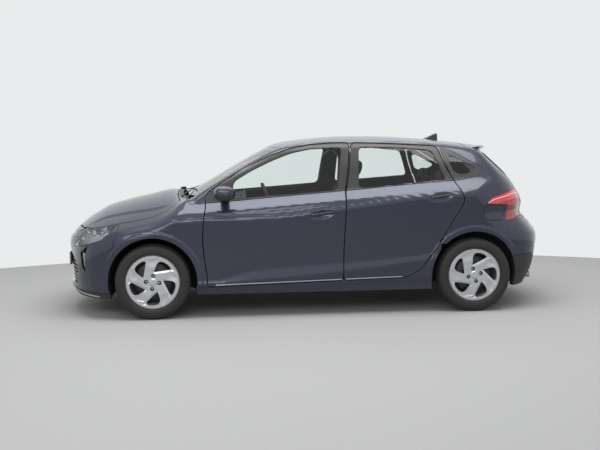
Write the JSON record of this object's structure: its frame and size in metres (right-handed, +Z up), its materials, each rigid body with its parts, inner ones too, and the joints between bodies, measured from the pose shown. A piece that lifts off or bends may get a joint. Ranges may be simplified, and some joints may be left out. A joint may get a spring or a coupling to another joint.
{
  "type": "hatchback car",
  "caption": "Compact hatchback body on road wheels, with hinged doors, bonnet, tailgate and fuel flap, and steered front wheels.",
  "frame": {"origin": "on the ground, half-way along the car and in its middle plane", "axes": "+Z up, the car faces -Y, its left side is +X"},
  "size_m": [1.985, 4.0371, 1.4642],
  "materials": {
    "paint": "dark blue-grey metallic lacquer",
    "underbody": "matt black coating",
    "black_trim": "grained black",
    "window_glass": "lightly tinted",
    "lamp_clear": "clear",
    "lamp_red": "clear red",
    "engine_metal": "cast",
    "exhaust_steel": "dull",
    "cabin_plastic": "grained",
    "seat_fabric": "woven",
    "steering_rim": "smooth",
    "tyre_rubber": "matt",
    "wheel_silver": "silver"
  },
  "bodies": {
    "body": {"floor_pan": "underbody", "body_sides": "paint", "roof_panel": "paint", "front_wings": "paint", "front_bumper": "paint", "grille": "black_trim", "rear_bumper": "paint", "windscreen": "window_glass", "quarter_windows": "window_glass", "headlamps": "lamp_clear", "tail_lamps": "lamp_red", "arch_liners": "black_trim", "scuttle_panel": "black_trim", "front_subframe": "underbody", "rear_axle": "underbody", "engine_block": "engine_metal", "exhaust": "exhaust_steel", "fuel_tank": "black_trim", "dashboard": "cabin_plastic", "front_seats": "seat_fabric", "rear_seat": "seat_fabric", "parcel_shelf": "cabin_plastic", "roof_aerial": "black_trim"},
    "steering_wheel": {"steering_wheel": "steering_rim"},
    "bonnet": {"bonnet": "paint"},
    "tailgate": {"tailgate": "paint", "tailgate_window": "window_glass"},
    "fuel_flap": {"fuel_flap": "paint"},
    "front_door_left": {"front_door_left": "paint", "front_window_left": "window_glass", "mirror_left": "paint"},
    "rear_door_left": {"rear_door_left": "paint", "rear_window_left": "window_glass"},
    "knuckle_left": {"knuckle_left": "underbody"},
    "front_wheel_left": {"tyre_front_left": "tyre_rubber", "wheel_front_left": "wheel_silver"},
    "rear_wheel_left": {"tyre_rear_left": "tyre_rubber", "wheel_rear_left": "wheel_silver"},
    "front_door_right": {"front_door_right": "paint", "front_window_right": "window_glass", "mirror_right": "paint"},
    "rear_door_right": {"rear_door_right": "paint", "rear_window_right": "window_glass"},
    "knuckle_right": {"knuckle_right": "underbody"},
    "front_wheel_right": {"tyre_front_right": "tyre_rubber", "wheel_front_right": "wheel_silver"},
    "rear_wheel_right": {"tyre_rear_right": "tyre_rubber", "wheel_rear_right": "wheel_silver"}
  },
  "joints": [
    {"name": "front_left_steer", "type": "hinge", "parent": "body", "child": "knuckle_left", "pos_m": [0.7525, -1.265, 0.298], "axis": [-0.1736, 0, 0.9848], "range_deg": [-33, 33]},
    {"name": "front_left_roll", "type": "hinge", "parent": "knuckle_left", "child": "front_wheel_left", "pos_m": [0.7725, -1.265, 0.298], "axis": [1, 0, 0], "continuous": true},
    {"name": "rear_left_roll", "type": "hinge", "parent": "body", "child": "rear_wheel_left", "pos_m": [0.7725, 1.315, 0.298], "axis": [1, 0, 0], "continuous": true},
    {"name": "front_door_left_swing", "type": "hinge", "parent": "body", "child": "front_door_left", "pos_m": [0.84562, -0.795, 0.6], "axis": [0, 0, -1], "range_deg": [0, 65]},
    {"name": "rear_door_left_swing", "type": "hinge", "parent": "body", "child": "rear_door_left", "pos_m": [0.84813, 0.331, 0.6], "axis": [0, 0, -1], "range_deg": [0, 65]},
    {"name": "front_right_steer", "type": "hinge", "parent": "body", "child": "knuckle_right", "pos_m": [-0.7525, -1.265, 0.298], "axis": [0.1736, 0, 0.9848], "range_deg": [-33, 33]},
    {"name": "front_right_roll", "type": "hinge", "parent": "knuckle_right", "child": "front_wheel_right", "pos_m": [-0.7725, -1.265, 0.298], "axis": [1, 0, 0], "continuous": true},
    {"name": "rear_right_roll", "type": "hinge", "parent": "body", "child": "rear_wheel_right", "pos_m": [-0.7725, 1.315, 0.298], "axis": [1, 0, 0], "continuous": true},
    {"name": "front_door_right_swing", "type": "hinge", "parent": "body", "child": "front_door_right", "pos_m": [-0.84562, -0.795, 0.6], "axis": [0, 0, 1], "range_deg": [0, 65]},
    {"name": "rear_door_right_swing", "type": "hinge", "parent": "body", "child": "rear_door_right", "pos_m": [-0.84813, 0.331, 0.6], "axis": [0, 0, 1], "range_deg": [0, 65]},
    {"name": "steering_wheel_turn", "type": "hinge", "parent": "body", "child": "steering_wheel", "pos_m": [0.355, -0.305, 0.88], "axis": [0, 0.9135, 0.4067], "range_deg": [-480, 480]},
    {"name": "bonnet_lift", "type": "hinge", "parent": "body", "child": "bonnet", "pos_m": [0, -1.123, 0.95], "axis": [-1, 0, 0], "range_deg": [0, 50]},
    {"name": "tailgate_lift", "type": "hinge", "parent": "body", "child": "tailgate", "pos_m": [0, 1.351, 1.35], "axis": [1, 0, 0], "range_deg": [0, 75]},
    {"name": "fuel_flap_swing", "type": "hinge", "parent": "body", "child": "fuel_flap", "pos_m": [0.86039, 1.405, 0.8], "axis": [0, 0, -1], "range_deg": [0, 100]}
  ],
  "couplings": [
    {"joint": "front_right_steer", "follows": "front_left_steer", "ratio": 1},
    {"joint": "steering_wheel_turn", "follows": "front_left_steer", "ratio": 14.5}
  ]
}
